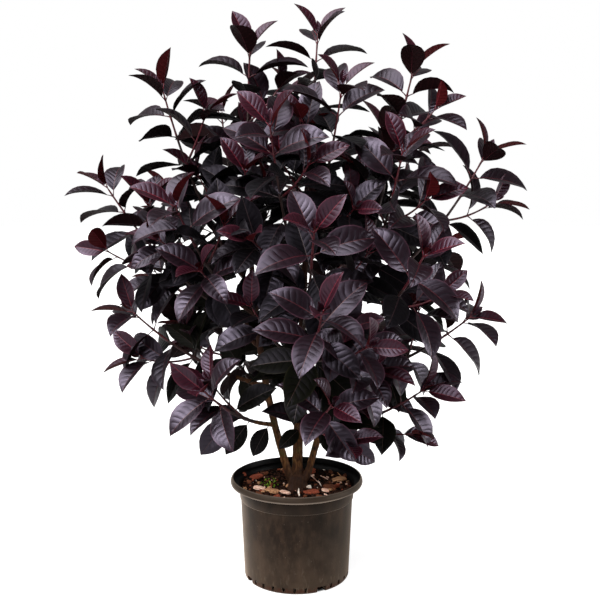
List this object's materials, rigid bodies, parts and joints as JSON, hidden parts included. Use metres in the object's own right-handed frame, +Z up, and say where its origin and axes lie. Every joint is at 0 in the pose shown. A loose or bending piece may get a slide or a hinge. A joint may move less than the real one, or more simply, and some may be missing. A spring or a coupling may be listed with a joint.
{
  "type": "potted lilly pilly",
  "caption": "Bushy dark-leaved lilly pilly shrub on three stems, with crossed pairs of glossy leaves, in a round plastic nursery pot.",
  "frame": {"origin": "centre of the pot's flat underside, on the ground that the pot stands on", "axes": "+Z up along the pot's axis and the stems; -Y is the front, the side that the picture shows; +X is to the right seen from the front"},
  "size_m": [0.6602, 0.6292, 0.8661],
  "materials": {
    "pot": "weathered black moulded plastic, satin where it is rubbed",
    "mix": "damp potting mix of composted bark",
    "chips": "dry split pine bark, matt",
    "bark": "thin brown bark, faintly fissured, redder towards the tips",
    "foliage": "leathery purple-black leaves with a soft gloss and a reddish rib"
  },
  "bodies": {
    "root": {"pot": "pot", "potting_mix": "mix", "bark_chip_1": "chips", "bark_chip_2": "chips", "bark_chip_3": "chips", "bark_chip_4": "chips", "bark_chip_5": "chips", "bark_chip_6": "chips", "bark_chip_7": "chips", "trunk": "bark", "stem_left": "bark", "stem_middle": "bark", "stem_right": "bark", "bough_upper_left": "bark", "bough_far_left": "bark", "bough_front_left": "bark", "bough_back_left": "bark", "bough_low_left": "bark", "bough_low_back_left": "bark", "bough_skirt_left": "bark", "bough_upper_front": "bark", "bough_front": "bark", "bough_back": "bark", "bough_low_front": "bark", "bough_low_back": "bark", "bough_skirt_front": "bark", "bough_upper_right": "bark", "bough_upper_front_right": "bark", "bough_front_right": "bark", "bough_back_right": "bark", "bough_low_right": "bark", "bough_low_back_right": "bark", "bough_skirt_right": "bark", "foliage_top_left": "foliage", "foliage_top_back": "foliage", "foliage_top_right": "foliage", "foliage_upper_left": "foliage", "foliage_upper_back_left": "foliage", "foliage_far_left": "foliage", "foliage_front_left": "foliage", "foliage_back_left": "foliage", "foliage_low_left": "foliage", "foliage_low_back_left": "foliage", "foliage_skirt_left": "foliage", "foliage_top_front": "foliage", "foliage_upper_front": "foliage", "foliage_upper_back": "foliage", "foliage_front": "foliage", "foliage_back": "foliage", "foliage_low_front": "foliage", "foliage_low_back": "foliage", "foliage_skirt_front": "foliage", "foliage_upper_right": "foliage", "foliage_upper_front_right": "foliage", "foliage_upper_back_right": "foliage", "foliage_front_right": "foliage", "foliage_back_right": "foliage", "foliage_low_right": "foliage", "foliage_low_back_right": "foliage", "foliage_skirt_right": "foliage"}
  },
  "joints": []
}
